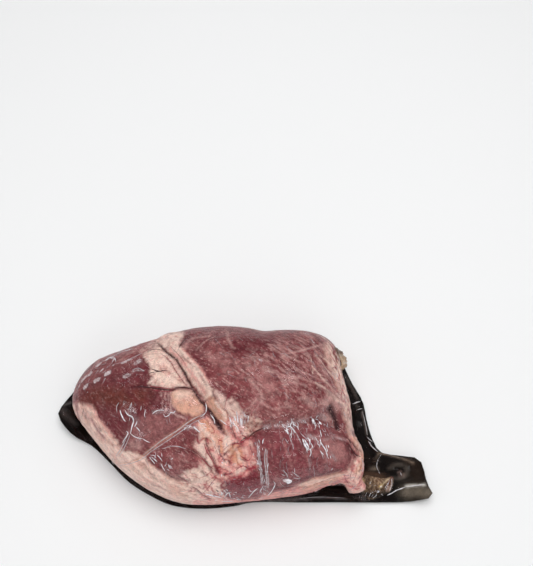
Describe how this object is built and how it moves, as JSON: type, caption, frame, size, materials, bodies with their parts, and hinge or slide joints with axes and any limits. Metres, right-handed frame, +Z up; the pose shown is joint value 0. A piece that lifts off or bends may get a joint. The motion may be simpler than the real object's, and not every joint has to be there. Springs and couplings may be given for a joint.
{
  "type": "vacuum-packed raw beef heart",
  "caption": "Raw beef heart in a skin-tight clear film on a black backing film, lying flat with its rounded tip at one end and its wider, fat-trimmed base at the other.",
  "frame": {"origin": "on the underside of the black backing film, under the middle of the heart", "axes": "+X along the heart from its rounded tip to its wider base and the long flap of film, +Y across it towards the far edge, +Z up through the heart's upper face"},
  "size_m": [0.315, 0.1571, 0.0815],
  "materials": {
    "heart_meat": "gloss",
    "backing_film": "gloss",
    "clear_film": "polished",
    "meat_juice": "gloss"
  },
  "bodies": {
    "root": {"heart_in_film": "heart_meat", "backing_film": "backing_film"}
  },
  "joints": []
}
